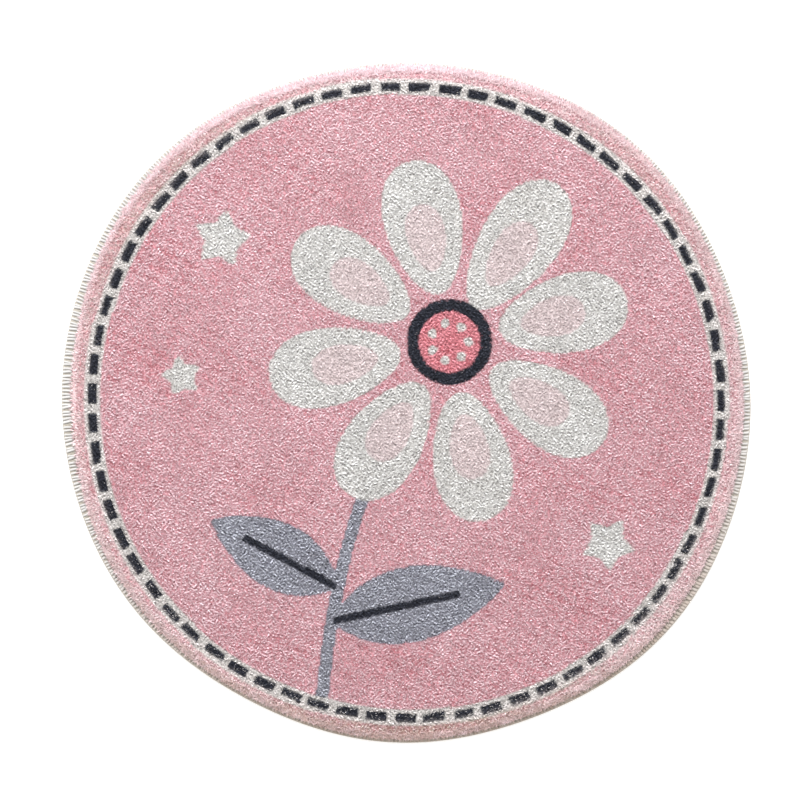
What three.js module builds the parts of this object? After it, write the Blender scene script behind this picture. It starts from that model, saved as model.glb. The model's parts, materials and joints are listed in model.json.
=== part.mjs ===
// Round pile rug: a disc of pile carpet whose cut edge is bound with overlocking yarn.
// Millimetres, +Z up. The origin is on the floor under the middle of the dashed border,
// and the pile leans towards +Y.

import * as THREE from 'three';

// Driving dimensions
const rugDiameter = 800;       // over the overlocked edge, on average round the rug
const rugThickness = 13.5;     // floor to pile tips
const edgeWidth = 12.5;        // how far the overlocking yarn reaches in from the edge
const edgeHeight = 4.8;        // backing with a turn of yarn above and below it
const sewnGap = 0.3;           // between the edge yarn and the carpet inside it
const stepsAround = 144;

// The cut edge wanders from a true circle by a few slow waves, each with its first crest at a
// bearing in degrees, anticlockwise from +X.
const edgeWaves = [
  { lobes: 1, height: 1.4, crestAt: 82 },
  { lobes: 2, height: 3.8, crestAt: -18 },
  { lobes: 3, height: 1.1, crestAt: 49 },
  { lobes: 4, height: 1.7, crestAt: -40 },
  { lobes: 5, height: 1.1, crestAt: -19 },
  { lobes: 6, height: 0.6, crestAt: 24 },
  { lobes: 7, height: 0.5, crestAt: 8 },
  { lobes: 8, height: 0.7, crestAt: -1 },
];

// How far the pile hangs out over the edge yarn, by bearing: least where the yarn shows most.
const pileOverhangs = [
  { bearing: 0, reach: 4.7 },
  { bearing: 30, reach: 7 },
  { bearing: 60, reach: 10 },
  { bearing: 90, reach: 9.5 },
  { bearing: 120, reach: 9.5 },
  { bearing: 150, reach: 5 },
  { bearing: 180, reach: 0 },
  { bearing: 210, reach: 6.3 },
  { bearing: 240, reach: 9 },
  { bearing: 270, reach: 9.5 },
  { bearing: 300, reach: 8.5 },
  { bearing: 330, reach: 4.5 },
];

// Section of the carpet's rim, from the floor up to the level pile. A point lies `inset` inside
// the foot of the pile, moved out by its share of the overhang.
const rimSection = [
  { inset: 0, overhangShare: 0, height: 0 },
  { inset: 0, overhangShare: 0, height: edgeHeight + 0.5 },
  { inset: 0, overhangShare: 1, height: edgeHeight + 1.8 },
  { inset: 1, overhangShare: 0.9, height: 9 },
  { inset: 4, overhangShare: 0.55, height: 11.4 },
  { inset: 10, overhangShare: 0.2, height: 12.9 },
  { inset: 19, overhangShare: 0, height: rugThickness },
];

// Section of the edge yarn, from its inner face: shares of its width and of its height.
const edgeSection = [
  { across: 0.12, up: 0 },
  { across: 0.88, up: 0 },
  { across: 1, up: 0.3 },
  { across: 0.98, up: 0.64 },
  { across: 0.82, up: 0.9 },
  { across: 0.53, up: 1 },
  { across: 0.14, up: 0.95 },
  { across: 0, up: 0.74 },
  { across: 0, up: 0.2 },
];

function edgeRadius(bearing) {
  let radius = rugDiameter / 2;
  for (const { lobes, height, crestAt } of edgeWaves) {
    radius += height * Math.cos(THREE.MathUtils.degToRad(lobes * (bearing - crestAt)));
  }
  return radius;
}

function footRadius(bearing) {
  return edgeRadius(bearing) - edgeWidth - sewnGap;
}

function overhang(bearing) {
  const spacing = 360 / pileOverhangs.length;
  const place = bearing / spacing;
  const before = Math.floor(place) % pileOverhangs.length;
  const after = (before + 1) % pileOverhangs.length;
  const ease = THREE.MathUtils.smoothstep(place - Math.floor(place), 0, 1);
  return THREE.MathUtils.lerp(pileOverhangs[before].reach, pileOverhangs[after].reach, ease);
}

// One closed loop of points round the rug, at a radius that follows the bearing.
function loopAround(radiusAt, height) {
  const loop = [];
  for (let step = 0; step < stepsAround; step += 1) {
    const bearing = (360 * step) / stepsAround;
    const turn = THREE.MathUtils.degToRad(bearing);
    const radius = radiusAt(bearing);
    loop.push(new THREE.Vector3(radius * Math.cos(turn), radius * Math.sin(turn), height));
  }
  return loop;
}

// Skins neighbouring loops with two triangles a step. The loops run anticlockwise, and each
// next loop lies up the outside of the piece.
function skinBetween(lower, upper, triangles) {
  for (let step = 0; step < stepsAround; step += 1) {
    const next = (step + 1) % stepsAround;
    triangles.push([lower[step], lower[next], upper[next]]);
    triangles.push([lower[step], upper[next], upper[step]]);
  }
}

// Closes a loop with a fan of triangles about a point on the axis.
function capLoop(loop, facesUp, triangles) {
  const middle = new THREE.Vector3(0, 0, loop[0].z);
  for (let step = 0; step < stepsAround; step += 1) {
    const next = (step + 1) % stepsAround;
    triangles.push(facesUp ? [middle, loop[step], loop[next]] : [middle, loop[next], loop[step]]);
  }
}

function meshOf(name, triangles, material) {
  const geometry = new THREE.BufferGeometry().setFromPoints(triangles.flat());
  geometry.computeVertexNormals();
  const mesh = new THREE.Mesh(geometry, material);
  mesh.name = name;
  return mesh;
}

// The carpet: backing and pile in one solid, flat underneath, with its rim rounded over.
function makePileCarpet() {
  const loops = rimSection.map(({ inset, overhangShare, height }) => {
    const radiusAt = (bearing) => footRadius(bearing) - inset + overhangShare * overhang(bearing);
    return loopAround(radiusAt, height);
  });
  const triangles = [];
  capLoop(loops[0], false, triangles);
  for (let row = 1; row < loops.length; row += 1) {
    skinBetween(loops[row - 1], loops[row], triangles);
  }
  capLoop(loops[loops.length - 1], true, triangles);
  const pink = new THREE.MeshStandardMaterial({ color: 0xd6a5ac, roughness: 0.95, metalness: 0 });
  return meshOf('pile_carpet', triangles, pink);
}

// The overlocking yarn: one flat-bottomed ring round the backing's cut edge.
function makeOverlockEdge() {
  const loops = edgeSection.map(({ across, up }) => {
    const radiusAt = (bearing) => edgeRadius(bearing) - edgeWidth * (1 - across);
    return loopAround(radiusAt, edgeHeight * up);
  });
  const triangles = [];
  for (let row = 0; row < loops.length; row += 1) {
    skinBetween(loops[row], loops[(row + 1) % loops.length], triangles);
  }
  const cream = new THREE.MeshStandardMaterial({ color: 0xdcd6cb, roughness: 0.85, metalness: 0 });
  return meshOf('overlock_edge', triangles, cream);
}

const group = new THREE.Group();
group.add(makePileCarpet());
group.add(makeOverlockEdge());

export default group;
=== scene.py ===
import json
import math

import bpy
import numpy as np
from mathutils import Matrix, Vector
from mathutils.bvhtree import BVHTree

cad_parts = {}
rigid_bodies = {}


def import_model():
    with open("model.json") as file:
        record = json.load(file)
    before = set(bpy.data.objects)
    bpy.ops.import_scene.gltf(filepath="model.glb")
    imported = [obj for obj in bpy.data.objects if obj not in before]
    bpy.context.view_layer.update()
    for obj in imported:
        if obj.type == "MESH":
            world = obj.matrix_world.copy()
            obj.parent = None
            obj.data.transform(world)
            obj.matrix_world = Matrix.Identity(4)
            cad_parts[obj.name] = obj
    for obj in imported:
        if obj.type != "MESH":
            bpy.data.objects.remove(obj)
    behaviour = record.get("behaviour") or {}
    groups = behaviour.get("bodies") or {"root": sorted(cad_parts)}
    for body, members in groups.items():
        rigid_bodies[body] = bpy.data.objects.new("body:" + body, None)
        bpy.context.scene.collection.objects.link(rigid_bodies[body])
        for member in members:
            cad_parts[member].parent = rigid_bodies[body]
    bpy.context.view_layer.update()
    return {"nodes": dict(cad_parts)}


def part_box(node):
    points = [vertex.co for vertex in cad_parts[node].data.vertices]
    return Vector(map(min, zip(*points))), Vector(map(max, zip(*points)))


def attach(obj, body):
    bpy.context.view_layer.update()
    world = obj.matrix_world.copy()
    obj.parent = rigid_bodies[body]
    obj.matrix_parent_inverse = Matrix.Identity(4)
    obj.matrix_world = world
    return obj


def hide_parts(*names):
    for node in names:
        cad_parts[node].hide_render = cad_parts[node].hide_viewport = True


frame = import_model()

# Round pile rug, lying flat. Metres, +Z up; the pile leans towards +Y, the top of the design.

sceneObjects = bpy.context.scene.collection.objects
bpy.context.scene.view_settings.view_transform = "Standard"
print("rug: frame loaded")

# the rim is read off the frame's own solids
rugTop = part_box("pile_carpet")[1].z


def cornersOf(nodeName):
    mesh = frame["nodes"][nodeName].data
    corners = np.empty(len(mesh.vertices) * 3)
    mesh.vertices.foreach_get("co", corners)
    return corners.reshape(-1, 3)


def rimCurve(corners):
    # the largest radius at each bearing, as a curve to look up
    bearings = np.round(np.arctan2(corners[:, 1], corners[:, 0]), 4)
    radii = np.hypot(corners[:, 0], corners[:, 1])
    steps = np.unique(bearings)
    largest = np.array([radii[bearings == step].max() for step in steps])
    keep = largest > 0.1                             # leaves out the middle of the two flat faces
    return lambda bearing: np.interp(bearing, steps[keep], largest[keep], period=2 * math.pi)


carpetCorners = cornersOf("pile_carpet")
edgeRadius = rimCurve(cornersOf("overlock_edge"))
footRadius = rimCurve(carpetCorners[carpetCorners[:, 2] < 0.001])
pileRadius = rimCurve(carpetCorners)


def smooth(low, high, value):
    share = np.clip((value - low) / (high - low), 0, 1)
    return share * share * (3 - 2 * share)


def placeAt(radius, bearing):
    return np.stack([radius * np.cos(bearing), radius * np.sin(bearing)])


def meshObject(name, points, faces, smoothFaces=True):
    mesh = bpy.data.meshes.new(name)
    mesh.from_pydata([tuple(point) for point in points], [], faces)
    mesh.polygons.foreach_set("use_smooth", [smoothFaces] * len(mesh.polygons))
    piece = bpy.data.objects.new(name, mesh)
    sceneObjects.link(piece)
    return piece


def storeValues(mesh, name, values, kind="FLOAT"):
    field = "value" if kind == "FLOAT" else "vector"
    attribute = mesh.attributes.new(name, kind, "POINT")
    attribute.data.foreach_set(field, np.asarray(values, np.float32).ravel())


def newTree(name, kind, inputs, outputs):
    tree = bpy.data.node_groups.new(name, kind)
    for direction, sockets in (("INPUT", inputs), ("OUTPUT", outputs)):
        for socketName, socketType, value in sockets:
            socket = tree.interface.new_socket(socketName, in_out=direction, socket_type=socketType)
            if value is not None:
                socket.default_value = value
    return tree


def addNode(tree, kind, links=None, **settings):
    node = tree.nodes.new(kind)
    for key, value in settings.items():
        setattr(node, key, value)
    for key, value in (links or {}).items():
        if isinstance(value, bpy.types.NodeSocket):
            tree.links.new(value, node.inputs[key])
        else:
            node.inputs[key].default_value = value
    return node


def mathNode(tree, operation, *values, clamp=False):
    node = addNode(tree, "ShaderNodeMath", dict(enumerate(values)), operation=operation, use_clamp=clamp)
    return node.outputs[0]


def mixNode(tree, share, first, second, blend="MIX"):
    node = addNode(tree, "ShaderNodeMix", {"Factor": share, "A": first, "B": second},
                   data_type="RGBA", blend_type=blend)
    return node.outputs["Result"]


def storedValue(tree, name, kind="FLOAT"):
    # reads back what storeValues wrote
    node = addNode(tree, "GeometryNodeInputNamedAttribute", {"Name": name}, data_type=kind)
    return node.outputs["Attribute"]


def chanceAround(tree, middle, spread, seed):
    # each instance draws a number of its own, no further than the spread from the middle
    low = mathNode(tree, "SUBTRACT", middle, spread)
    high = mathNode(tree, "ADD", middle, spread)
    node = addNode(tree, "FunctionNodeRandomValue", {2: low, 3: high, "Seed": seed}, data_type="FLOAT")
    return node.outputs[1]


def realCopies(tree, shape, points, rotation, scale):
    shape = addNode(tree, "GeometryNodeObjectInfo", {"Object": shape, "As Instance": True})
    placed = addNode(tree, "GeometryNodeInstanceOnPoints", {
        "Points": points, "Instance": shape.outputs["Geometry"], "Rotation": rotation, "Scale": scale})
    real = addNode(tree, "GeometryNodeRealizeInstances", {"Geometry": placed.outputs["Instances"]})
    return real.outputs[0]


def growPiece(name, carrier, tree, values):
    # runs a tree on a carrier mesh and keeps the result as a plain mesh
    modifier = carrier.modifiers.new("grow", "NODES")
    modifier.node_group = tree
    items = tree.interface.items_tree
    sockets = {item.name: item.identifier for item in items if item.in_out == "INPUT"}
    for key, value in values.items():
        modifier[sockets[key]] = value
    depsgraph = bpy.context.evaluated_depsgraph_get()
    mesh = bpy.data.meshes.new_from_object(
        carrier.evaluated_get(depsgraph), preserve_all_data_layers=True, depsgraph=depsgraph)
    mesh.name = name
    piece = bpy.data.objects.new(name, mesh)
    sceneObjects.link(piece)
    bpy.data.objects.remove(carrier)
    return piece


def yarnToneGroup():
    # colour of a yarn: deep at the root, as painted shade in the pile's depths, and pale at the tip, as a
    # painted highlight; each yarn a tone of its own, with painted light and shade along the ridges; bare
    # where the dye didn't reach, or on the edge's stitches brown with painted shade; and darker and browner
    # under painted shade round the rim, or soil on the off-white band
    tree = newTree("yarnTone", "ShaderNodeTree", [
        ("Tip", "NodeSocketColor", (0.8, 0.8, 0.8, 1)),
        ("Root", "NodeSocketColor", (0.6, 0.6, 0.6, 1)),
        ("Undyed", "NodeSocketColor", (0.86, 0.84, 0.80, 1)),
        ("Shade_And_Soil", "NodeSocketColor", (0.6, 0.55, 0.5, 1)),
        ("Tone Spread", "NodeSocketFloat", 0.12),
        ("Mottle", "NodeSocketFloat", 0.08),
    ], [("Colour", "NodeSocketColor", None), ("Fibre Height", "NodeSocketFloat", None)])
    given = tree.nodes.new("NodeGroupInput").outputs
    rise, tone, fade, depth, shade_and_soil = (
        addNode(tree, "ShaderNodeAttribute", attribute_name=trait).outputs["Fac"]
        for trait in ("rise", "tone", "fade", "depth", "shade_and_soil"))
    place = tree.nodes.new("ShaderNodeTexCoord").outputs["Object"]
    patches = addNode(tree, "ShaderNodeTexNoise", {"Vector": place, "Scale": 20.0, "Detail": 4.0})
    fibres = addNode(tree, "ShaderNodeTexNoise", {"Vector": place, "Scale": 2600.0, "Detail": 1.0})

    along = addNode(tree, "ShaderNodeMapRange", {"Value": rise, "From Min": 0.1, "From Max": 0.95})
    shallow = mathNode(tree, "SUBTRACT", 1.0, depth)
    tipShare = mathNode(tree, "MULTIPLY", along.outputs["Result"], shallow, clamp=True)
    dyed = mixNode(tree, tipShare, given["Root"], given["Tip"])
    # pressed and dark-toned pile is painted further towards the root colour, as painted shade
    pressed = mathNode(tree, "MULTIPLY", depth, 0.7, clamp=True)
    deeper = mixNode(tree, pressed, dyed, given["Root"], blend="MULTIPLY")
    # bare yarn shows most near the root
    bare = addNode(tree, "ShaderNodeMapRange", {
        "Value": rise, "From Min": 0.0, "From Max": 1.0, "To Min": 1.25, "To Max": 0.75})
    bareShare = mathNode(tree, "MULTIPLY", bare.outputs["Result"], fade, clamp=True)
    faded = mixNode(tree, bareShare, deeper, given["Undyed"])

    toneOff = mathNode(tree, "SUBTRACT", tone, 0.5)
    toneShare = mathNode(tree, "MULTIPLY_ADD", toneOff, given["Tone Spread"], 1.0)
    patchOff = mathNode(tree, "SUBTRACT", patches.outputs["Fac"], 0.5)
    brightness = mathNode(tree, "MULTIPLY_ADD", patchOff, given["Mottle"], toneShare)
    clean = addNode(tree, "ShaderNodeVectorMath", {0: faded, "Scale": brightness}, operation="SCALE")
    # painted shade round the rim, or soil on the off-white band, multiplies in a brown here
    colour = mixNode(tree, shade_and_soil, clean.outputs[0], given["Shade_And_Soil"], blend="MULTIPLY")
    addNode(tree, "NodeGroupOutput", {"Colour": colour, "Fibre Height": fibres.outputs["Fac"]})
    return tree


yarnTone = yarnToneGroup()


def newMaterial(name, roughness, gloss):
    material = bpy.data.materials.new(name)
    material.use_nodes = True
    shader = material.node_tree.nodes["Principled BSDF"]
    shader.inputs["Roughness"].default_value = roughness
    shader.inputs["Specular IOR Level"].default_value = gloss
    return material, material.node_tree, shader


def addBump(tree, shader, height, strength, distance):
    bump = addNode(tree, "ShaderNodeBump", {
        "Height": height, "Strength": strength, "Distance": distance})
    tree.links.new(bump.outputs["Normal"], shader.inputs["Normal"])


def yarnMaterial(name, look):
    material, tree, shader = newMaterial(name, look["roughness"], look["gloss"])
    shader.inputs["Sheen Weight"].default_value = look["sheen"]
    shader.inputs["Sheen Roughness"].default_value = 0.5
    tone = addNode(tree, "ShaderNodeGroup", node_tree=yarnTone)
    for socket in ("Tip", "Root", "Undyed", "Shade_And_Soil"):
        tone.inputs[socket].default_value = (*look[socket.lower()], 1)
    for socket in ("Tone Spread", "Mottle"):
        tone.inputs[socket].default_value = look[socket]
    tree.links.new(tone.outputs["Colour"], shader.inputs["Base Color"])
    addBump(tree, shader, tone.outputs["Fibre Height"], strength=0.35, distance=0.0003)
    return material


# the pile's soil colour is the brown of painted shade round the rim, and of soil on the off-white band
pileLook = {"undyed": (0.67, 0.595, 0.595), "shade_and_soil": (0.62, 0.58, 0.50),
            "roughness": 0.9, "sheen": 0.06, "gloss": 0.10, "Tone Spread": 1.35, "Mottle": 0.22}

# each yarn's tip is painted pale, as a highlight, and its root deep, as painted shade in the pile's depths
yarns = {
    "pink": {"tip": (0.71, 0.68, 0.72), "root": (0.58, 0.30, 0.33), "slot": "pink_pile",
             "Tone Spread": 0.84},
    "white": {"tip": (0.66, 0.663, 0.667), "root": (0.57, 0.556, 0.537), "slot": "white_pile"},
    "blush": {"tip": (0.66, 0.58, 0.585), "root": (0.61, 0.53, 0.53), "slot": "blush_pile",
              "Tone Spread": 0.9},
    "grey": {"tip": (0.515, 0.535, 0.59), "root": (0.25, 0.25, 0.29), "slot": "grey_pile",
             "Tone Spread": 1.6},
    "charcoal": {"tip": (0.051, 0.055, 0.071), "root": (0.024, 0.026, 0.037), "slot": "charcoal_pile"},
    "rose": {"tip": (0.70, 0.34, 0.39), "root": (0.58, 0.22, 0.25), "slot": "pink_pile"},
}
yarnNumber = {name: number for number, name in enumerate(yarns)}

# the design: a dashed band near the rim, and inside it a flower, two leaves and three stars
ring = {"radius": 0.3680, "width": 0.0192, "shade_and_soil": 0.12,            # the off-white band
        "dashes": 67, "dashLength": 0.0247, "dashWidth": 0.0098,
        "firstDash": math.radians(1.1), "dashStray": 0.0008, "dashLean": 0.04, "seed": 5}
ringWaves = [                                        # the band wanders a little from a circle
    {"lobes": 2, "height": 0.0014, "crestAt": math.radians(121)},
    {"lobes": 4, "height": 0.0010, "crestAt": math.radians(35)},
]
dashDrift = [                                        # and its dashes crowd and spread by turns
    {"lobes": 1, "turn": math.radians(0.5), "crestAt": math.radians(147)},
    {"lobes": 2, "turn": math.radians(0.4), "crestAt": math.radians(71)},
]


def wave(bearing, rows, size):
    return sum(row[size] * np.cos(row["lobes"] * (bearing - row["crestAt"])) for row in rows)


def ringYarns(x, y, yarn):
    radius, bearing = np.hypot(x, y), np.arctan2(y, x)
    across = radius - ring["radius"] - wave(bearing, ringWaves, "height")
    yarn[np.abs(across) < ring["width"] / 2] = yarnNumber["white"]
    step = 2 * math.pi / ring["dashes"]
    turn = bearing - ring["firstDash"] - wave(bearing, dashDrift, "turn")
    number = np.rint(turn / step).astype(int) % ring["dashes"]
    along = (turn - np.rint(turn / step) * step) * ring["radius"]
    stray = np.random.default_rng(ring["seed"]).normal(0, ring["dashStray"], (4, ring["dashes"]))
    slide, shift, longer, tilt = stray[:, number]
    across = across - shift / 2 - ring["dashLean"] * np.sign(tilt) * along
    along = along - slide
    inDash = np.abs(along) < (ring["dashLength"] + longer) / 2
    inDash &= np.abs(across) < ring["dashWidth"] / 2
    yarn[inDash] = yarnNumber["charcoal"]


flower = {"middle": (0.050, 0.070), "petals": 8, "turn": math.radians(12), "seed": 3,
          "petalMiddle": 0.136, "petalLength": 0.158, "petalWidth": 0.090, "egg": 0.22,
          "turnStray": 0.012, "lengthStray": 0.03,
          "blushShare": 0.50, "blushShift": -0.012,
          "eye": 0.050, "eyeRing": 0.036, "seedRing": 0.022, "seedDots": 7, "seedDot": 0.0055}


def eggInside(along, across, length, width, egg):
    share = along / (length / 2)
    halfWidth = width / 2 * (1 + egg * share)
    return share ** 2 + (across / halfWidth) ** 2 < 1


def flowerYarns(x, y, yarn):
    dx, dy = x - flower["middle"][0], y - flower["middle"][1]
    turnVary, lengthVary = np.random.default_rng(flower["seed"]).normal(0, 1, (2, flower["petals"]))
    for petal in range(flower["petals"]):
        bearing = flower["turn"] + 2 * math.pi * petal / flower["petals"]
        bearing += flower["turnStray"] * turnVary[petal]
        along = dx * math.cos(bearing) + dy * math.sin(bearing) - flower["petalMiddle"]
        across = -dx * math.sin(bearing) + dy * math.cos(bearing)
        length = flower["petalLength"] * (1 + flower["lengthStray"] * lengthVary[petal])
        inPetal = eggInside(along, across, length, flower["petalWidth"], flower["egg"])
        inBlush = eggInside(along - flower["blushShift"], across, length * flower["blushShare"],
                            flower["petalWidth"] * flower["blushShare"], flower["egg"])
        yarn[inPetal] = yarnNumber["white"]
        yarn[inBlush] = yarnNumber["blush"]
    fromMiddle = np.hypot(dx, dy)
    yarn[fromMiddle < flower["eye"]] = yarnNumber["charcoal"]
    yarn[fromMiddle < flower["eyeRing"]] = yarnNumber["rose"]
    for dot in range(flower["seedDots"]):
        bearing = 2 * math.pi * dot / flower["seedDots"]
        dotX, dotY = flower["seedRing"] * math.cos(bearing), flower["seedRing"] * math.sin(bearing)
        yarn[np.hypot(dx - dotX, dy - dotY) < flower["seedDot"]] = yarnNumber["white"]


stem = {"from": (-0.012, -0.030), "middle": (-0.080, -0.140), "to": (-0.099, -0.352),
        "width": 0.015, "steps": 90}
leaves = [
    {"root": (-0.082, -0.215), "bearing": math.radians(152), "length": 0.165, "width": 0.078},
    {"root": (-0.086, -0.255), "bearing": math.radians(12), "length": 0.205, "width": 0.088},
]
leafShape = {"skew": 0.85, "fullness": 0.8, "ribWidth": 0.0085, "ribShare": 0.74}
starShape = {"points": 5, "waist": 0.62, "curve": 1.6}
stars = [
    {"middle": (-0.215, 0.190), "size": 0.034, "turn": math.radians(8)},
    {"middle": (-0.262, 0.030), "size": 0.024, "turn": math.radians(30)},
    {"middle": (0.235, -0.165), "size": 0.032, "turn": math.radians(-14)},
]


def stemYarns(x, y, yarn):
    start, middle, end = (np.array(stem[key]) for key in ("from", "middle", "to"))
    for share in np.linspace(0, 1, stem["steps"]):
        point = (1 - share) ** 2 * start + 2 * share * (1 - share) * middle + share ** 2 * end
        yarn[np.hypot(x - point[0], y - point[1]) < stem["width"] / 2] = yarnNumber["grey"]


def leafYarns(x, y, yarn):
    for leaf in leaves:
        dx, dy = x - leaf["root"][0], y - leaf["root"][1]
        along = (dx * math.cos(leaf["bearing"]) + dy * math.sin(leaf["bearing"])) / leaf["length"]
        across = -dx * math.sin(leaf["bearing"]) + dy * math.cos(leaf["bearing"])
        inLength = (along > 0) & (along < 1)
        swell = np.sin(math.pi * np.clip(along, 0, 1) ** leafShape["skew"]) ** leafShape["fullness"]
        yarn[inLength & (np.abs(across) < leaf["width"] / 2 * swell)] = yarnNumber["grey"]
        onRib = inLength & (along < leafShape["ribShare"])
        yarn[onRib & (np.abs(across) < leafShape["ribWidth"] / 2)] = yarnNumber["charcoal"]


def starYarns(x, y, yarn):
    for star in stars:
        dx, dy = x - star["middle"][0], y - star["middle"][1]
        halfPoint = math.pi / starShape["points"]
        fromWaist = np.abs((np.arctan2(dy, dx) - star["turn"]) % (2 * halfPoint) - halfPoint) / halfPoint
        arm = (1 - starShape["waist"]) * fromWaist ** starShape["curve"]
        yarn[np.hypot(dx, dy) < star["size"] * (starShape["waist"] + arm)] = yarnNumber["white"]


def yarnAt(x, y):
    yarn = np.full(x.shape, yarnNumber["pink"])
    stemYarns(x, y, yarn)
    leafYarns(x, y, yarn)
    flowerYarns(x, y, yarn)
    starYarns(x, y, yarn)
    ringYarns(x, y, yarn)
    return yarn


# the backing, and the dense body of the pile up to just under its tips
carpet = {
    "backing": 0.0024,        # thickness of the backing cloth
    "edgeLift": 0.0011,       # the stitches under the edge raise it this much
    "overhangShare": 0.7,     # the body goes out with this much of the pile's overhang
    "underHeight": 0.0052,    # underside of that overhang, just over the stitches
    "rimHeight": 0.0064,      # top of the body at its rim
    "bodyHeight": 0.0088,     # top of the body further in
    "shoulder": 0.017,        # width of the slope between the two
    "corner": 0.0003,         # its corners are cut off by this much
    "cutCorner": (0.0005, 0.0006),    # and the backing's by this much, in and down
    "lap": 0.002,             # the raised edge ends this far outside the foot of the pile
    "tuck": 0.010,            # and the backing is down on the floor this far inside it
    "cells": 200,             # squares across the top
    "rough": 0.0004,          # unevenness of the top
    "seed": 4,
}

# what comes and goes slowly over the pile, each thing with ripples of its own
unevenness = {
    "length": {"seed": 22},
    "pressed": {"seed": 31, "waves": 14, "longest": 0.030},
    "lint": {"seed": 32, "waves": 14, "longest": 0.040},
    "pressedMore": {"seed": 33, "longest": 0.5},
    "bare": {"seed": 61, "waves": 20, "longest": 0.045},
    "shade_and_soil": {"seed": 62, "waves": 20, "longest": 0.050},
}


def slowNoise(x, y, seed, waves=7, longest=0.35):
    # crossing ripples, each shorter than the last, that sum to about -1 to 1
    chance = np.random.default_rng(seed)
    total = np.zeros_like(x)
    for number in range(waves):
        bearing, phase = chance.uniform(0, 2 * math.pi, 2)
        length = longest / (1 + 0.7 * number)
        total += np.sin((x * math.cos(bearing) + y * math.sin(bearing)) * 2 * math.pi / length + phase)
    return total / math.sqrt(waves) / 1.4


def bodyRadius(bearing):
    foot = footRadius(bearing)
    return foot + carpet["overhangShare"] * (pileRadius(bearing) - foot)


def bodyHeight(x, y):
    inset = bodyRadius(np.arctan2(y, x)) - np.hypot(x, y)
    left = 1 - np.clip(inset / carpet["shoulder"], 0, 1)
    return carpet["rimHeight"] + (carpet["bodyHeight"] - carpet["rimHeight"]) * (1 - left * left)


# wear and painted shade outside the ring, in patches: the rim's own lies this far in from the rim, and the
# rest begins this far out from the ring's middle
rimWearAndShade = {"rimWidth": (0.001, 0.008), "bareWidth": 0.014, "barePatches": 1.1, "mostBare": 2.4,
           "shadeFrom": (0.006, 0.012), "shadePatches": 0.6, "mostShaded": 1.2}
# by bearing: how bare of dye the pile is, and how much painted shade it takes, heaviest on the -Y side away
# from the lamp, by the ring and at the rim
rimLooks = {
    "bearing": (0, 45, 90, 135, 180, 225, 270, 315),
    "bare": (0.34, 0.24, 0.28, 0.30, 0.36, 0.46, 0.36, 0.50),
    "edgeBare": (0.50, 0.24, 0.28, 0.32, 0.52, 0.55, 0.36, 0.55),
    # the last two rows are painted shade, heaviest on the -Y side, away from the lamp
    "shade_and_soil": (0.08, 0.34, 0.00, 0.50, 0.24, 0.14, 0.95, 0.15),
    "edgeShade": (0.30, 0.46, 0.00, 0.24, 0.24, 0.62, 1.00, 0.50),
}


def byBearing(table, bearing, column):
    return np.interp(np.degrees(bearing), table["bearing"], table[column], period=360)


def atRim(radius, bearing):
    return 1 - smooth(*rimWearAndShade["rimWidth"], bodyRadius(bearing) - radius)


def rimFade(x, y):
    # how far the dye is missing outside the border ring, patch by patch
    radius, bearing = np.hypot(x, y), np.arctan2(y, x)
    bare = byBearing(rimLooks, bearing, "bare") * smooth(0, rimWearAndShade["bareWidth"], radius - ring["radius"])
    patches = 1 + rimWearAndShade["barePatches"] * slowNoise(x, y, **unevenness["bare"])
    bare *= np.clip(patches, 0, rimWearAndShade["mostBare"])
    return bare + atRim(radius, bearing) * (byBearing(rimLooks, bearing, "edgeBare") - bare)


def rimShadeAndSoil(x, y):
    # painted shade in the pile from outside the ring to the rim, heaviest on the -Y side, and a little soil
    # on the off-white band
    radius, bearing = np.hypot(x, y), np.arctan2(y, x)
    outside = smooth(*rimWearAndShade["shadeFrom"], radius - ring["radius"])
    shade_and_soil = byBearing(rimLooks, bearing, "shade_and_soil")
    shade_and_soil += atRim(radius, bearing) * (byBearing(rimLooks, bearing, "edgeShade") - shade_and_soil)
    patches = 1 + rimWearAndShade["shadePatches"] * slowNoise(x, y, **unevenness["shade_and_soil"])
    shade_and_soil = np.clip(shade_and_soil * patches, 0, rimWearAndShade["mostShaded"])
    return outside * shade_and_soil + (1 - outside) * ring["shade_and_soil"] * (radius > ring["radius"] - ring["width"] / 2)


def discGrid(cells):
    # a square grid of points pressed into a disc, so that its border runs round the rim
    u, v = np.meshgrid(np.linspace(-1, 1, cells + 1), np.linspace(-1, 1, cells + 1), indexing="ij")
    reach = np.maximum(np.abs(u), np.abs(v))
    safe = np.where(reach == 0, 1, reach)
    flat = math.pi / 4 * np.where(np.abs(u) >= np.abs(v), v / safe, u / safe)
    bearing = np.where(np.abs(u) >= np.abs(v), np.where(u >= 0, flat, math.pi - flat),
                       np.where(v >= 0, math.pi / 2 - flat, -math.pi / 2 + flat))
    return placeAt(reach * bodyRadius(bearing), bearing).reshape(2, -1)


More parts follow.
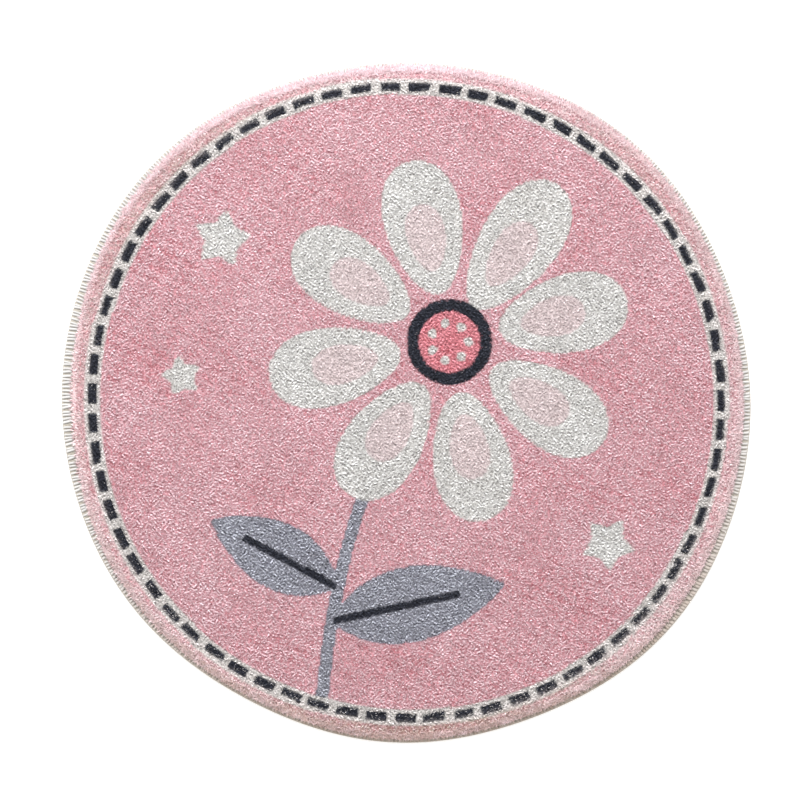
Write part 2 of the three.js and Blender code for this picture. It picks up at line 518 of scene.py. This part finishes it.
def makeCarpet():
    cells, side = carpet["cells"], carpet["cells"] + 1
    x, y = discGrid(cells)
    roughness = np.random.default_rng(carpet["seed"]).normal(0, carpet["rough"], x.shape)
    points = [np.stack([x, y, bodyHeight(x, y) + roughness], 1)]
    corner = np.arange(side * side).reshape(side, side)
    squares = [corner[:-1, :-1], corner[1:, :-1], corner[1:, 1:], corner[:-1, 1:]]
    faces = np.stack(squares, -1).reshape(-1, 4).tolist()
    border = np.concatenate([corner[:-1, 0], corner[-1, :-1], corner[:0:-1, -1], corner[0, :0:-1]])
    bearing = np.arctan2(y[border], x[border])
    body, foot, cut = bodyRadius(bearing), footRadius(bearing), edgeRadius(bearing)
    low, high, under = carpet["edgeLift"], carpet["edgeLift"] + carpet["backing"], carpet["underHeight"]
    off, (offIn, offDown) = carpet["corner"], carpet["cutCorner"]
    topFaces = len(faces)
    loop = border
    for radius, height in ((body - off, under + off), (foot, under), (foot - off, high),
                           (cut - offIn, high), (cut, high - offDown), (cut, low + offDown),
                           (cut - offIn, low), (foot + carpet["lap"], low), (foot - carpet["tuck"], 0)):
        below = sum(len(part) for part in points) + np.arange(len(loop))
        points.append(np.stack([*placeAt(radius, bearing), np.full(len(loop), height)], 1))
        for step in range(len(loop)):
            after = (step + 1) % len(loop)
            faces.append([loop[step], below[step], below[after], loop[after]])
        loop = below
    middle = sum(len(part) for part in points)
    points.append(np.zeros((1, 3)))
    for step in range(len(loop)):
        faces.append([loop[step], middle, loop[(step + 1) % len(loop)]])
    points = np.concatenate(points)
    cloth = meshObject("carpetCloth", points, faces)
    # the body is painted in the yarns' root colours, the painted shade deep in the pile
    rootColours = np.array([look["root"] for look in yarns.values()])
    bare = rimFade(points[:, 0], points[:, 1])[:, None]
    colours = (1 - bare) * rootColours[yarnAt(points[:, 0], points[:, 1])]
    colours += bare * np.array(pileLook["undyed"])
    # painted shade round the rim, and soil on the off-white band, darken the body towards a brown
    colours *= 1 - rimShadeAndSoil(points[:, 0], points[:, 1])[:, None] * (1 - np.array(pileLook["shade_and_soil"]))
    attribute = cloth.data.attributes.new("yarnColour", "FLOAT_COLOR", "POINT")
    attribute.data.foreach_set("color", np.append(colours, np.ones((len(points), 1)), 1).ravel())
    cloth.data.materials.append(bedMaterial())
    cloth.data.materials.append(backingMaterial())
    onBacking = np.zeros(len(faces), int)
    onBacking[topFaces + 3 * len(border):] = 1
    cloth.data.polygons.foreach_set("material_index", onBacking)
    return cloth


def bedMaterial():
    material, tree, shader = newMaterial("pileBody", roughness=0.95, gloss=0.1)
    colour = addNode(tree, "ShaderNodeAttribute", attribute_name="yarnColour")
    place = tree.nodes.new("ShaderNodeTexCoord").outputs["Object"]
    fibres = addNode(tree, "ShaderNodeTexNoise", {"Vector": place, "Scale": 700.0, "Detail": 2.0})
    tree.links.new(colour.outputs["Color"], shader.inputs["Base Color"])
    addBump(tree, shader, fibres.outputs["Fac"], strength=0.6, distance=0.0012)
    return material


weave = {"threads": 500.0, "dark": (0.34, 0.31, 0.265, 1), "light": (0.40, 0.365, 0.31, 1)}


def backingMaterial():
    material, tree, shader = newMaterial("backingWeave", roughness=0.9, gloss=0.5)
    place = tree.nodes.new("ShaderNodeTexCoord").outputs["Object"]
    threads = addNode(tree, "ShaderNodeTexChecker", {"Vector": place, "Scale": weave["threads"]})
    colour = mixNode(tree, threads.outputs["Fac"], weave["dark"], weave["light"])
    tree.links.new(colour, shader.inputs["Base Color"])
    addBump(tree, shader, threads.outputs["Fac"], strength=0.4, distance=0.0004)
    return material


carpetCloth = makeCarpet()
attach(carpetCloth, "root")
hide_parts("pile_carpet")
print("rug: carpet body made,", len(carpetCloth.data.polygons), "faces")

# the yarns that stand out of that body
pile = {
    "spacing": 0.00124,       # between yarn roots
    "stray": 0.30,            # how far a root strays, as a share of the spacing
    "field": 0.42,            # roots are laid out this far from the middle, then cut off at the rim
    "sunk": 0.0012,           # roots lie this far inside the carpet's body
    "inRim": 0.0005,          # and at least this far in from its rim
    "reach": 0.0031,          # how far a yarn reaches along its ridge, left or right
    "lengths": (0.6, 1.2),    # least and most share of that
    "drift": 0.16,            # and how much the reach varies slowly over the rug
    "lean": 0.0007,           # every yarn reaches this far towards +Y besides
    "layTurn": 0.28,          # radians either way that yarns turn from the ridge
    "ridgeTurns": (-52, -31, -10, 10, 31, 52),    # degrees from straight across, a pack of ridges each
    "packs": {"waves": 9, "longest": 0.032},      # where one pack gives way to the next
    "packSeed": 40,
    "packContrast": 1.3,      # and how suddenly
    "ripples": 14,            # a pack's ridges are this many ripples, laid over one another
    "rippleLengths": (0.0023, 0.0044),
    "rippleTurn": 14,         # degrees that they stray from the pack's bearing
    "tipStray": 0.0026,       # tips lie up to this far under the top of the frame's carpet
    "ridgeRise": 0.2,         # share of that by which a ridge rises
    "ownRise": 0.1,           # and each yarn by itself, up or down
    "dent": 0.0022,           # pressed pile is lower again by this much
    "pressed": (0.38, 0.95),  # where that begins, and where it is in full
    "pressedMore": 0.35,      # some parts of the rug have more such spots than others
    "rimDepth": 0.016,        # in from the body's rim, where the pile also flares outwards
    "rimShort": 0.7,          # and lies along its ridge by this much less
    "rimTone": 0.18,          # and varies in tone by this much more
    "flares": (0.4, 1.2),     # least and most share of the flare
    "flareTurn": 0.35,        # radians that it strays from straight outwards
    "overhangHeight": 0.0068,    # tips beyond the solid's rim are at this height
    "width": 0.00095,
    "bow": 0.22,              # how far a yarn's middle rises, as a share of its length
    "edgeShare": 0.35,        # a yarn across the line between two colours has this share of its reach
    "ridgeLightAndShade": 0.255,       # high ridges are painted paler by this much, a highlight, and low ones darker, painted shade
    "ownTone": 0.11,          # and each yarn by itself by up to this much
    "lowShade": 0.75,         # dark-toned yarns are painted this much further towards the root colour, as painted shade
    "bareYarns": 0.3,         # share of the yarns that are barest where the pile is bare
    "bareMost": 2.1,          # they are this many times as bare
    "bareLeast": 0.5,         # and the others this many times
    "ringBare": 0.3,          # bareness of the off-white band's own yarns
    "lint": 0.4,              # how far lint covers the dye
    "lintFrom": (1.1, 1.6),   # where it begins, and where it is thickest
    "flecks": 0.01,           # share of the dashes' yarns that the dye missed
    "flecksLow": 0.11,        # and this much more on the -Y side
    "lowSide": (0.25, 0.75),  # where that side begins, and where it is in full, as sines
    "fleckGirth": 0.7,        # and their width
    "mostFaces": 190000,      # so that no piece grows too heavy
    "seed": 11,
}

# by bearing: how far the pile flares out, besides its overhang
rimFlares = {"bearing": (0, 45, 90, 135, 160, 180, 270),
             "reach": (0.0018, 0.0026, 0.0034, 0.0028, 0.0014, 0.0058, 0.0026)}


def pileRoots():
    chance = np.random.default_rng(pile["seed"])
    rowGap = pile["spacing"] * math.sqrt(3) / 2
    rows = int(pile["field"] / rowGap)
    columns = int(pile["field"] / pile["spacing"])
    row, column = np.mgrid[-rows:rows + 1, -columns:columns + 1]
    x = (column + 0.5 * (row % 2)) * pile["spacing"]
    y = row * rowGap
    x = (x + chance.normal(0, pile["stray"] * pile["spacing"], x.shape)).ravel()
    y = (y + chance.normal(0, pile["stray"] * pile["spacing"], y.shape)).ravel()
    inside = np.hypot(x, y) < bodyRadius(np.arctan2(y, x)) - pile["inRim"]
    return x[inside], y[inside]


def surfaceHeights(x, y):
    # the top of the frame's own carpet over each tip
    solidCarpet = frame["nodes"]["pile_carpet"].data
    corners = [vertex.co for vertex in solidCarpet.vertices]
    solid = BVHTree.FromPolygons(corners, [face.vertices for face in solidCarpet.polygons])
    down = Vector((0, 0, -1))
    heights = np.full(x.shape, pile["overhangHeight"])
    for number, (px, py) in enumerate(zip(x, y)):
        hit = solid.ray_cast(Vector((px, py, 1)), down)[0]
        if hit:
            heights[number] = hit.z
    return heights


def ridges(x, y):
    # short uneven ridges, high on top, whose tops get a painted highlight and grooves painted shade, that
    # run one way here and another there, and the bearing that they run on
    chance = np.random.default_rng(pile["seed"] + 2)
    total, weight, twiceTurned = np.zeros_like(x), np.zeros_like(x), np.zeros(x.shape, complex)
    for number, turn in enumerate(pile["ridgeTurns"]):
        share = np.exp(pile["packContrast"] * slowNoise(x, y, pile["packSeed"] + number, **pile["packs"]))
        ridge = np.zeros_like(x)
        for ripple in range(pile["ripples"]):
            bearing = math.radians(90 + turn + chance.normal(0, pile["rippleTurn"]))
            length = chance.uniform(*pile["rippleLengths"])
            ridge += np.sin((x * math.cos(bearing) + y * math.sin(bearing)) * 2 * math.pi / length
                            + chance.uniform(0, 2 * math.pi))
        total += share * ridge
        weight += share ** 2
        twiceTurned += share ** 4 * np.exp(2j * math.radians(turn))
    return total / np.sqrt(weight * pile["ripples"] / 2), np.angle(twiceTurned) / 2


def layPile():
    chance = np.random.default_rng(pile["seed"] + 1)
    x, y = pileRoots()
    bearing, radius = np.arctan2(y, x), np.hypot(x, y)
    rim = 1 - smooth(0, pile["rimDepth"], bodyRadius(bearing) - radius)
    turn = ridges(x, y)[1] + chance.normal(0, pile["layTurn"], x.shape)
    length = (1 - pile["rimShort"] * rim) * (1 + pile["drift"] * slowNoise(x, y, **unevenness["length"]))
    length *= chance.uniform(*pile["lengths"], x.shape)
    length *= chance.choice((-1, 1), x.shape)        # so it lies left or right
    overhang = pileRadius(bearing) - bodyRadius(bearing)
    flare = rim * (byBearing(rimFlares, bearing, "reach") + overhang)
    flare *= chance.uniform(*pile["flares"], x.shape)
    flareBearing = bearing + chance.normal(0, pile["flareTurn"], x.shape)
    reach = placeAt(pile["reach"] * length, turn) + placeAt(flare, flareBearing)
    reach[1] += pile["lean"]
    root = np.stack([x, y])
    middle = root + 0.5 * reach
    yarn = yarnAt(*middle)
    acrossLine = (yarnAt(*root) != yarn) | (yarnAt(*(root + reach)) != yarn)
    reach = np.where(acrossLine, pile["edgeShare"], 1) * reach
    root = middle - 0.5 * reach
    fleckShare = pile["flecks"] + pile["flecksLow"] * smooth(*pile["lowSide"], -np.sin(bearing))
    fleck = (yarn == yarnNumber["charcoal"]) & (radius > ring["radius"] - ring["width"])
    fleck &= chance.uniform(0, 1, x.shape) < fleckShare
    yarn[fleck] = yarnNumber["white"]
    pressing = slowNoise(x, y, **unevenness["pressed"])
    pressing += pile["pressedMore"] * slowNoise(x, y, **unevenness["pressedMore"])
    dent = smooth(*pile["pressed"], pressing)
    ridge = ridges(*middle)[0]
    lowness = 0.5 - pile["ridgeRise"] * np.clip(ridge, -2, 2)
    lowness += pile["ownRise"] * chance.uniform(-1, 1, x.shape)
    lowness = pile["tipStray"] * lowness + pile["dent"] * dent
    rootHeight = bodyHeight(*root) - pile["sunk"]
    roots = np.stack([*root, rootHeight], 1)
    reach = np.stack([*reach, surfaceHeights(*(root + reach)) - lowness - rootHeight], 1)
    mostBare = chance.uniform(0, 1, x.shape) < pile["bareYarns"]
    fade = rimFade(*middle) * np.where(mostBare, pile["bareMost"], pile["bareLeast"])
    inBand = np.abs(radius - ring["radius"]) < ring["width"]
    fade += pile["ringBare"] * (inBand & (yarn == yarnNumber["white"]))
    ownTone = (pile["ownTone"] + pile["rimTone"] * rim) * chance.uniform(-1, 1, x.shape)
    # ridge tops are painted paler, as a highlight, and the grooves darker, as painted shade
    tone = np.clip(0.5 + pile["ridgeLightAndShade"] * ridge + ownTone, 0, 1)
    fade += pile["lint"] * smooth(*pile["lintFrom"], slowNoise(x, y, **unevenness["lint"]))
    # depth paints dents and dark-toned yarns towards the root colour, as painted shade
    return roots, reach, yarn, {
        "tone": tone, "fade": np.clip(fade, 0, 1),
        "depth": np.clip(dent + pile["lowShade"] * (1 - tone), 0, 1),
        "shade_and_soil": rimShadeAndSoil(*middle), "girth": np.where(fleck, pile["fleckGirth"], 1.0)}


def yarnShape():
    # the upper side of one pile yarn, root at the origin and one unit long, widest at its middle;
    # +X faces up
    points = [(0, 0, 0), (0.3, 0.5, 0.5), (0.3, -0.5, 0.5), (0, 0, 1)]
    shape = meshObject("yarnShape", points, [(0, 1, 2), (3, 2, 1)])
    storeValues(shape.data, "rise", [0, 0.5, 0.5, 1])
    storeValues(shape.data, "cellPlace", [
        (0.5, 0.1, 0), (0.15, 0.5, 0), (0.85, 0.5, 0), (0.5, 0.9, 0)], "FLOAT_VECTOR")
    sceneObjects.unlink(shape)
    return shape


def pileTree():
    tree = newTree("growPile", "GeometryNodeTree", [
        ("Roots", "NodeSocketGeometry", None), ("Yarn Shape", "NodeSocketObject", None),
        ("Width", "NodeSocketFloat", 0.0018), ("Width Spread", "NodeSocketFloat", 0.25),
        ("Bow", "NodeSocketFloat", 0.2), ("Cells Across", "NodeSocketFloat", 10.0),
        ("Seed", "NodeSocketInt", 1), ("Material", "NodeSocketMaterial", None),
    ], [("Pile", "NodeSocketGeometry", None)])
    given = tree.nodes.new("NodeGroupInput").outputs
    reach = storedValue(tree, "reach", "FLOAT_VECTOR")
    length = addNode(tree, "ShaderNodeVectorMath", {0: reach}, operation="LENGTH").outputs["Value"]
    along = addNode(tree, "FunctionNodeAlignRotationToVector", {"Vector": reach}, axis="Z")
    bowUp = addNode(tree, "FunctionNodeAlignRotationToVector", {
        "Rotation": along.outputs[0], "Vector": (0, 0, 1)}, axis="X", pivot_axis="Z")
    vary = chanceAround(tree, 1.0, given["Width Spread"], given["Seed"])
    own = mathNode(tree, "MULTIPLY", storedValue(tree, "girth"), vary)
    width = mathNode(tree, "MULTIPLY", given["Width"], own)
    scale = addNode(tree, "ShaderNodeCombineXYZ", {"X": width, "Y": width, "Z": length})
    straight = realCopies(tree, given["Yarn Shape"], given["Roots"], bowUp.outputs[0], scale.outputs[0])
    # each yarn's middle rises above the straight line from root to tip, by a quarter of the bow
    rise = storedValue(tree, "rise")
    arch = mathNode(tree, "MULTIPLY", mathNode(tree, "SUBTRACT", 1.0, rise), rise)
    lift = mathNode(tree, "MULTIPLY", mathNode(tree, "MULTIPLY", arch, given["Bow"]), length)
    offset = addNode(tree, "ShaderNodeCombineXYZ", {"Z": lift})
    bowed = addNode(tree, "GeometryNodeSetPosition", {"Geometry": straight, "Offset": offset.outputs[0]})
    # each yarn has a small square of its own on the piece's map
    cellWidth = mathNode(tree, "DIVIDE", 1.0, given["Cells Across"])
    place = addNode(tree, "ShaderNodeVectorMath", {
        0: storedValue(tree, "cell", "FLOAT_VECTOR"), 1: storedValue(tree, "cellPlace", "FLOAT_VECTOR")},
        operation="ADD")
    onMap = addNode(tree, "ShaderNodeVectorMath", {
        0: place.outputs[0], "Scale": cellWidth}, operation="SCALE")
    mapped = addNode(tree, "GeometryNodeStoreNamedAttribute", {
        "Geometry": bowed.outputs[0], "Name": "OFBake", "Value": onMap.outputs[0]},
        data_type="FLOAT2", domain="CORNER")
    finish = addNode(tree, "GeometryNodeSetMaterial", {
        "Geometry": mapped.outputs[0], "Material": given["Material"]})
    addNode(tree, "NodeGroupOutput", {"Pile": finish.outputs[0]})
    return tree


def growYarns(pieceName, tree, shape, values, roots, reach, traits):
    cellsAcross = math.ceil(math.sqrt(len(roots)))
    number = np.arange(len(roots))
    carrier = meshObject(pieceName + "Roots", roots, [])
    storeValues(carrier.data, "reach", reach, "FLOAT_VECTOR")
    cells = np.stack([number % cellsAcross, number // cellsAcross, 0 * number], 1)
    storeValues(carrier.data, "cell", cells, "FLOAT_VECTOR")
    for trait, amounts in traits.items():
        storeValues(carrier.data, trait, amounts)
    piece = growPiece(pieceName, carrier, tree, {
        **values, "Yarn Shape": shape, "Bow": 4 * pile["bow"], "Cells Across": float(cellsAcross)})
    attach(piece, "root")
    print("rug:", pieceName, len(roots), "yarns,", len(piece.data.polygons), "faces")
    return piece


# loose fibres that stand out round the rim
fuzz = {
    "fibres": 14000,
    "depth": 0.008,           # roots lie up to this far in from the body's rim
    "sunk": 0.0005,
    "reach": 0.0090,
    "lengths": (0.4, 1.2),    # least and most share of that
    "spread": 0.6,            # radians that they stray from straight outwards
    "beyond": 0.0070,         # none ends further than this past the solid's rim
    "beyondLow": 0.35,        # or than this share of it on the -Y side
    "highSide": (-0.2, 0.9),  # sines of the bearings between the two
    "lag": 1.5,               # the higher this is, the fewer get near that limit
    "droop": (-0.0015, 0.0005),    # heights of the tips over the top of the frame's carpet
    "width": 0.0007,
    "tones": (0.2, 0.8),
    "bare": 0.5,              # share of the dye's wear that they take
    # the loose fibres are painted this far towards the root colour, as painted shade
    "pressed": 0.2,
    "seed": 17,
}


def layFuzz():
    chance = np.random.default_rng(fuzz["seed"])
    bearing = chance.uniform(-math.pi, math.pi, 4 * fuzz["fibres"])
    overhang = pileRadius(bearing) - footRadius(bearing)
    kept = np.flatnonzero(chance.uniform(0, overhang.max(), len(bearing)) < overhang)[:fuzz["fibres"]]
    bearing = bearing[kept]
    radius = bodyRadius(bearing) - chance.uniform(0, fuzz["depth"], len(kept))
    root = placeAt(radius, bearing)
    outward = bearing + chance.normal(0, fuzz["spread"], len(kept))
    length = fuzz["reach"] * chance.uniform(*fuzz["lengths"], len(kept))
    tip = root + placeAt(length, outward)
    beyond = fuzz["beyondLow"] + (1 - fuzz["beyondLow"]) * smooth(*fuzz["highSide"], np.sin(bearing))
    beyond *= fuzz["beyond"] * chance.uniform(0, 1, len(kept)) ** fuzz["lag"]
    limit = pileRadius(np.arctan2(tip[1], tip[0])) + beyond
    tip *= np.minimum(1, limit / np.hypot(*tip))
    rootHeight = bodyHeight(*root) - fuzz["sunk"]
    tipHeight = surfaceHeights(*tip) + chance.uniform(*fuzz["droop"], len(kept))
    roots = np.stack([*root, rootHeight], 1)
    reach = np.stack([*(tip - root), tipHeight - rootHeight], 1)
    same = np.ones(len(kept))
    return roots, reach, {
        "tone": chance.uniform(*fuzz["tones"], len(kept)), "fade": fuzz["bare"] * rimFade(*tip),
        "shade_and_soil": rimShadeAndSoil(*tip), "depth": fuzz["pressed"] * same, "girth": same}


def growPile():
    roots, reach, yarn, traits = layPile()
    print("rug:", len(roots), "pile yarns laid")
    shape, tree = yarnShape(), pileTree()
    pieces = []
    most = pile["mostFaces"] // len(shape.data.polygons)
    for name, look in yarns.items():
        material = yarnMaterial(name + "Yarn", {**pileLook, **look})
        members = np.flatnonzero(yarn == yarnNumber[name])
        shares = math.ceil(len(members) / most)
        bearing = np.arctan2(roots[members, 1], roots[members, 0])
        order = members[np.argsort(bearing)]
        for number, group in enumerate(np.array_split(order, shares)):
            pieceName = name + "Pile" + ("ABCDEF"[number] if shares > 1 else "")
            values = {"Width": pile["width"], "Seed": pile["seed"] + number, "Material": material}
            piece = growYarns(pieceName, tree, shape, values, roots[group], reach[group],
                              {trait: amounts[group] for trait, amounts in traits.items()})
            pieces.append(piece)
    roots, reach, traits = layFuzz()
    values = {"Width": fuzz["width"], "Seed": fuzz["seed"], "Material": bpy.data.materials["pinkYarn"]}
    fibres = growYarns("looseFibres", tree, shape, values, roots, reach, traits)
    return [*pieces, fibres]


pilePieces = growPile()

# the turns of yarn over the backing's cut edge
edge = {
    "stitches": 590,
    "reachIn": 0.0122,        # from the outside of the edge to the inner ends of the stitches
    "height": 0.0046,
    "yarnThick": 0.0011,
    "yarnWide": 0.0034,
    "slant": 0.45,            # how far each stitch slants along the edge, as a share of its width
    "square": 0.6,            # 1 makes its turn an ellipse, and less makes it squarer
    "stray": 0.0004,          # along the edge
    "shadiest": 279,          # bearing of the side with the most painted shade, in degrees
    "shadedSide": (0.1, 0.95),   # where that side begins, and where it is in full, as cosines from there
    "sideShade": 0.9,              # how far that painted shade goes to brown there
    "sideShadeShares": (0.8, 1.1),
    "flatten": (0.92, 0.36),  # width of a stitch, and how much wider one on that side is
    "pathSteps": 12,
    "yarnSides": 5,
    "seed": 8,
    # the look's root colour is painted shade on a stitch's lower turns, and its undyed colour the brown of
    # painted shade on the -Y side
    "look": {"tip": (0.445, 0.435, 0.42), "root": (0.35, 0.33, 0.30), "undyed": (0.30, 0.21, 0.15),
             "roughness": 0.75, "gloss": 0.35, "Mottle": 0.05, "Tone Spread": 0.14},
}


def stitchShape():
    # one turn of yarn round the edge: +X points out of the rug, Y runs along the edge, Z is up
    points, faces = [], []
    steps, sides = edge["pathSteps"], edge["yarnSides"]
    halfIn = (edge["reachIn"] - edge["yarnThick"]) / 2
    halfUp = (edge["height"] - edge["yarnThick"]) / 2
    for step in range(steps):
        turn = 2 * math.pi * step / steps
        outShare, upShare = math.cos(turn), math.sin(turn)
        pathX = halfIn * math.copysign(abs(outShare) ** edge["square"], outShare) - edge["reachIn"] / 2
        pathZ = halfUp * math.copysign(abs(upShare) ** edge["square"], upShare) + edge["height"] / 2
        slide = -edge["slant"] * edge["yarnWide"] / 2 * upShare
        for side in range(sides):
            around = 2 * math.pi * side / sides
            out = 0.5 * edge["yarnThick"] * math.cos(around)
            points.append((pathX + out * outShare, slide + 0.5 * edge["yarnWide"] * math.sin(around),
                           pathZ + out * upShare))
    for step in range(steps):
        after = (step + 1) % steps
        for side in range(sides):
            nextSide = (side + 1) % sides
            faces.append((step * sides + side, step * sides + nextSide,
                          after * sides + nextSide, after * sides + side))
    shape = meshObject("stitchShape", points, faces)
    # the top of a stitch is painted pale like a yarn's tip, and its lower turns darker, as painted shade
    rises = [min(1, 1.4 * point[2] / edge["height"]) for point in points]
    storeValues(shape.data, "rise", rises)
    sceneObjects.unlink(shape)
    return shape


def edgeTree():
    tree = newTree("sewEdge", "GeometryNodeTree", [
        ("Stitches", "NodeSocketGeometry", None), ("Stitch Shape", "NodeSocketObject", None),
        ("Width Spread", "NodeSocketFloat", 0.16), ("Lean Spread", "NodeSocketFloat", 0.15),
        ("Seed", "NodeSocketInt", 1), ("Material", "NodeSocketMaterial", None),
    ], [("Edge", "NodeSocketGeometry", None)])
    given = tree.nodes.new("NodeGroupInput").outputs
    facing = addNode(tree, "FunctionNodeAlignRotationToVector", {
        "Vector": storedValue(tree, "outward", "FLOAT_VECTOR")}, axis="X", pivot_axis="Z")
    lean = chanceAround(tree, 0.0, given["Lean Spread"], given["Seed"])
    leanTurn = addNode(tree, "ShaderNodeCombineXYZ", {"Z": lean})
    leanRotation = addNode(tree, "FunctionNodeEulerToRotation", {0: leanTurn.outputs[0]})
    turned = addNode(tree, "FunctionNodeRotateRotation", {
        "Rotation": facing.outputs[0], "Rotate By": leanRotation.outputs[0]}, rotation_space="LOCAL")
    vary = chanceAround(tree, 1.0, given["Width Spread"], given["Seed"])
    width = mathNode(tree, "MULTIPLY", storedValue(tree, "girth"), vary)
    scale = addNode(tree, "ShaderNodeCombineXYZ", {"X": 1.0, "Y": width, "Z": 1.0})
    sewn = realCopies(tree, given["Stitch Shape"], given["Stitches"], turned.outputs[0], scale.outputs[0])
    finish = addNode(tree, "GeometryNodeSetMaterial", {"Geometry": sewn, "Material": given["Material"]})
    addNode(tree, "NodeGroupOutput", {"Edge": finish.outputs[0]})
    return tree


def sewEdge():
    chance = np.random.default_rng(edge["seed"])
    bearings = np.linspace(-math.pi, math.pi, 4 * edge["stitches"], endpoint=False)
    rim = placeAt(edgeRadius(bearings), bearings)
    walked = np.concatenate([[0], np.cumsum(np.hypot(*np.diff(rim, append=rim[:, :1])))])
    stitches = np.linspace(0, walked[-1], edge["stitches"], endpoint=False)
    stitches += chance.normal(0, edge["stray"], len(stitches))
    at = np.interp(stitches, walked, np.append(bearings, math.pi), period=walked[-1] + 1e-9)
    points = np.stack([*placeAt(edgeRadius(at), at), np.zeros(len(at))], 1)
    along = np.roll(points, -1, 0) - np.roll(points, 1, 0)
    outward = np.stack([along[:, 1], -along[:, 0], along[:, 2]], 1)
    carrier = meshObject("stitchPlaces", points, [])
    storeValues(carrier.data, "outward", outward, "FLOAT_VECTOR")
    storeValues(carrier.data, "tone", chance.uniform(0, 1, len(at)))
    # stitches on the -Y side are wider, and painted brown there as shade
    shadedSide = smooth(*edge["shadedSide"], np.cos(at - math.radians(edge["shadiest"])))
    storeValues(carrier.data, "fade", edge["sideShade"] * shadedSide * chance.uniform(*edge["sideShadeShares"], len(at)))
    storeValues(carrier.data, "girth", edge["flatten"][0] + edge["flatten"][1] * shadedSide)
    material = yarnMaterial("edgeYarn", {**pileLook, **edge["look"]})
    return growPiece("overlockStitches", carrier, edgeTree(), {
        "Stitch Shape": stitchShape(), "Seed": edge["seed"], "Material": material})


overlockStitches = sewEdge()
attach(overlockStitches, "root")
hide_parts("overlock_edge")
print("rug: edge overlocked,", len(overlockStitches.data.polygons), "faces")


def triangleCount(piece):
    piece.data.calc_loop_triangles()
    return len(piece.data.loop_triangles)


allPieces = [carpetCloth, overlockStitches, *pilePieces]
print("rug:", sum(triangleCount(piece) for piece in allPieces), "triangles in all")

# floor, light and sky
studio = {"floorSize": 8.0, "floorColour": (0.90, 0.90, 0.90), "floorGlow": 0.25,
          "keyStrength": 4.85, "keyHeight": math.radians(48), "keyAside": -0.12,
          "keyDistance": 4.4, "keySize": 0.8,
          "keyColour": (0.975, 0.99, 1.025), "sky": 1.08, "skyColour": (1.0, 0.98, 0.955)}


def floorMaterial():
    material, tree, shader = newMaterial("paleFloor", roughness=0.9, gloss=0.1)
    shader.inputs["Base Color"].default_value = (*studio["floorColour"], 1)
    shader.inputs["Emission Color"].default_value = (*studio["floorColour"], 1)
    shader.inputs["Emission Strength"].default_value = studio["floorGlow"]
    return material


half = studio["floorSize"] / 2
floor = meshObject("studioFloor", [(-half, -half, 0), (half, -half, 0), (half, half, 0), (-half, half, 0)],
                   [(0, 1, 2, 3)], smoothFaces=False)
floor.data.materials.append(floorMaterial())

key = bpy.data.lights.new("keyLight", "AREA")
key.shape = "DISK"
key.size = studio["keySize"]
key.energy = studio["keyStrength"] * math.pi * studio["keyDistance"] ** 2
key.color = studio["keyColour"]
keyObject = bpy.data.objects.new("keyLight", key)
toLight = Vector((studio["keyAside"], math.cos(studio["keyHeight"]), math.sin(studio["keyHeight"])))
toLight.normalize()
keyObject.location = toLight * studio["keyDistance"]
keyObject.rotation_euler = toLight.to_track_quat("Z", "Y").to_euler()
sceneObjects.link(keyObject)

world = bpy.data.worlds.new("softSky")
world.use_nodes = True
background = world.node_tree.nodes["Background"]
background.inputs["Color"].default_value = (*studio["skyColour"], 1)
background.inputs["Strength"].default_value = studio["sky"]
bpy.context.scene.world = world

view = {"lens": 300, "sensor": 36, "width": 0.9323, "aside": -0.0076, "up": 0.0024}
camera = bpy.data.cameras.new("camera")
camera.lens, camera.sensor_width = view["lens"], view["sensor"]
cameraObject = bpy.data.objects.new("camera", camera)
cameraHeight = rugTop / 2 + view["width"] * view["lens"] / view["sensor"]
cameraObject.location = (view["aside"], view["up"], cameraHeight)
sceneObjects.link(cameraObject)
bpy.context.scene.camera = cameraObject

print("rug: done")
